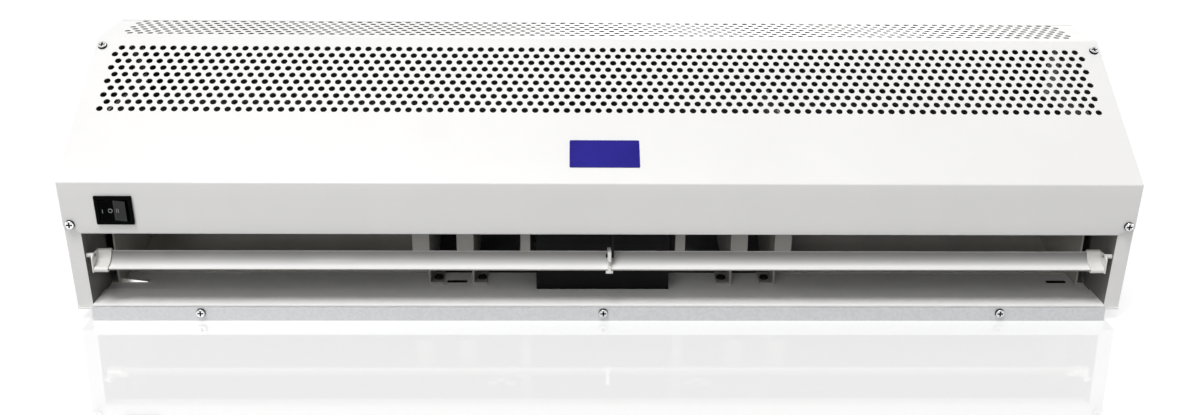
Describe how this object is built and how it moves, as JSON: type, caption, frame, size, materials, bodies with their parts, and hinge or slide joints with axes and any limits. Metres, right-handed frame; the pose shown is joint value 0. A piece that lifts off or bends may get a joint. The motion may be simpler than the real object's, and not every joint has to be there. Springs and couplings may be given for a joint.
{
  "type": "air curtain",
  "caption": "Wall-mounted air curtain with a perforated sloping cover, cross-flow fans on one motor, a long outlet slot with a tilting vane, and a rocker switch.",
  "frame": {"origin": "middle of the footprint, on the wall plate's outer face, which the part lies on", "axes": "+X along the length to the right as seen from the outlet side, -Y out of the outlet, +Z away from the wall. Installed on a wall over a door, +Z points into the room and -Y points down"},
  "size_m": [0.9, 0.2204, 0.217],
  "materials": {
    "white_paint": "satin powder coat",
    "duct_paint": "satin powder coat, warm grey in the duct",
    "galvanised_steel": "bluish galvanised sheet",
    "black_paint": "matt black",
    "white_plastic": "moulded",
    "black_plastic": "gloss black",
    "bright_steel": "ground shaft",
    "screw_steel": "bright plated",
    "aluminium": "plain sheet and castings",
    "rubber": "matt"
  },
  "bodies": {
    "chassis": {"wall_plate": "galvanised_steel", "motor_cradle": "galvanised_steel", "capacitor_clip": "galvanised_steel", "chassis_pan": "white_paint", "front_cover": "white_paint", "side_panel_left": "white_paint", "side_panel_right": "white_paint", "outlet_floor": "duct_paint", "scroll_left": "duct_paint", "tongue_left": "duct_paint", "bearing_plate_left": "duct_paint", "scroll_inner_plate_left": "duct_paint", "scroll_outer_plate_left": "duct_paint", "scroll_right": "duct_paint", "tongue_right": "duct_paint", "bearing_plate_right": "duct_paint", "scroll_inner_plate_right": "duct_paint", "scroll_outer_plate_right": "duct_paint", "motor_guard": "black_paint", "motor_casing": "black_paint", "vane_hanger": "black_paint", "run_capacitor": "white_plastic", "terminal_block": "white_plastic", "switch_body": "black_plastic", "cable_grommet": "rubber", "rubber_ring_left": "rubber", "inner_bearing_left": "rubber", "outer_bearing_left": "rubber", "rubber_ring_right": "rubber", "inner_bearing_right": "rubber", "outer_bearing_right": "rubber", "cover_screw_upper_left": "screw_steel", "cover_screw_lower_left": "screw_steel", "cover_screw_upper_right": "screw_steel", "cover_screw_lower_right": "screw_steel", "wall_plate_screw_left": "screw_steel", "wall_plate_screw_middle": "screw_steel", "wall_plate_screw_right": "screw_steel", "bearing_foot_screw_left": "screw_steel", "scroll_foot_screw_left": "screw_steel", "bearing_foot_screw_right": "screw_steel", "scroll_foot_screw_right": "screw_steel"},
    "rotor": {"motor_shaft": "bright_steel", "coupling_left": "aluminium", "coupling_right": "aluminium", "impeller_left": "aluminium", "impeller_right": "aluminium"},
    "vane": {"vane_blade": "white_paint", "vane_cap_left": "white_plastic", "vane_cap_right": "white_plastic", "vane_saddle": "white_plastic"},
    "rocker": {"switch_rocker": "black_plastic"}
  },
  "joints": [
    {"name": "rotor_spin", "type": "hinge", "parent": "chassis", "child": "rotor", "pos_m": [0, 0.012, 0.112], "axis": [1, 0, 0], "continuous": true},
    {"name": "vane_tilt", "type": "hinge", "parent": "chassis", "child": "vane", "pos_m": [0, -0.0977, 0.059], "axis": [1, 0, 0], "range_deg": [-35, 35]},
    {"name": "rocker_tilt", "type": "hinge", "parent": "chassis", "child": "rocker", "pos_m": [-0.4055, -0.10454, 0.10339], "axis": [0, -0.0593, 0.9982], "range_deg": [-11, 11]}
  ]
}
